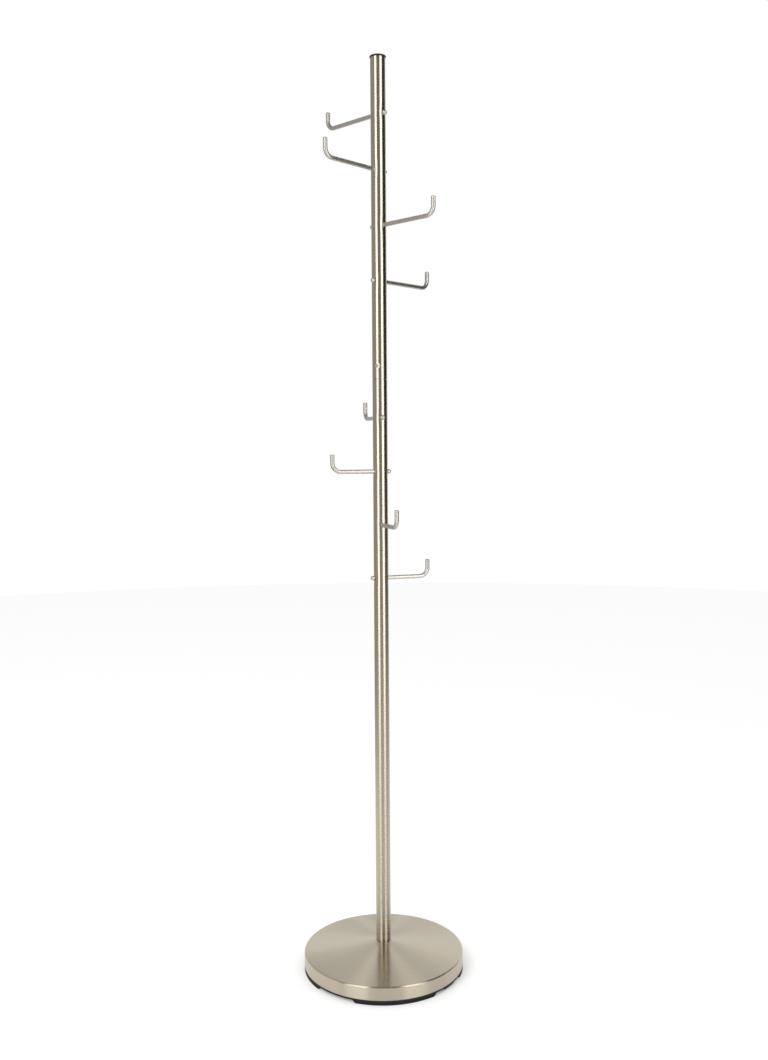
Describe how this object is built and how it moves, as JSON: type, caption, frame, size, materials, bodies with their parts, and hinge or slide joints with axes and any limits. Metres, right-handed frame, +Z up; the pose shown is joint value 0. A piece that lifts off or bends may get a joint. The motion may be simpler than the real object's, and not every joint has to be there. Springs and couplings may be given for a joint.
{
  "type": "standing coat rack",
  "caption": "Free-standing coat rack: a screwed two-piece tubular pole on a weighted round base, with J-shaped rod hooks that wind round the pole at different heights.",
  "frame": {"origin": "on the pole's axis, on the floor under the foot pads", "axes": "+Z up along the pole, -Y towards the front, +X to the right"},
  "size_m": [0.305, 0.305, 1.7082],
  "materials": {
    "pole_nickel": "satin nickel plate over steel tube, brushed round the tube",
    "hook_nickel": "satin nickel plate, a little brighter than the pole",
    "cover_nickel": "satin nickel plate, brushed in circles",
    "zinc_steel": "bright zinc plate",
    "cast_weight": "rough cast, black paint",
    "cap_plastic": "fine satin",
    "tray_plastic": "fine grain",
    "pad_rubber": "matte"
  },
  "bodies": {
    "stand": {"lower_insert": "zinc_steel", "lower_tube": "pole_nickel", "hook_5": "hook_nickel", "hook_6": "hook_nickel", "hook_7": "hook_nickel", "hook_8": "hook_nickel", "cap_nut_5": "hook_nickel", "cap_nut_6": "hook_nickel", "cap_nut_7": "hook_nickel", "cap_nut_8": "hook_nickel", "foot_insert": "zinc_steel", "base_cover": "cover_nickel", "base_weight": "cast_weight", "base_bolt": "zinc_steel", "spring_washer": "zinc_steel", "flat_washer": "zinc_steel", "base_tray": "tray_plastic", "tray_screws": "zinc_steel", "foot_pad_1": "pad_rubber", "foot_pad_2": "pad_rubber", "foot_pad_3": "pad_rubber", "foot_pad_4": "pad_rubber"},
    "joiner": {"joiner_stud": "zinc_steel"},
    "upper_pole": {"upper_tube": "pole_nickel", "upper_insert": "zinc_steel", "top_cap": "cap_plastic", "hook_1": "hook_nickel", "hook_2": "hook_nickel", "hook_3": "hook_nickel", "hook_4": "hook_nickel", "cap_nut_1": "hook_nickel", "cap_nut_2": "hook_nickel", "cap_nut_3": "hook_nickel", "cap_nut_4": "hook_nickel"}
  },
  "joints": [
    {"name": "pole_lift", "type": "slide", "parent": "stand", "child": "joiner", "axis": [0, 0, 1], "range_m": [0, 0.00263]},
    {"name": "pole_turn", "type": "hinge", "parent": "joiner", "child": "upper_pole", "pos_m": [0, 0, 1.125], "axis": [0, 0, 1], "range_deg": [0, 540]}
  ],
  "couplings": [
    {"joint": "pole_lift", "follows": "pole_turn", "m_per_rad": 0.00027852}
  ]
}
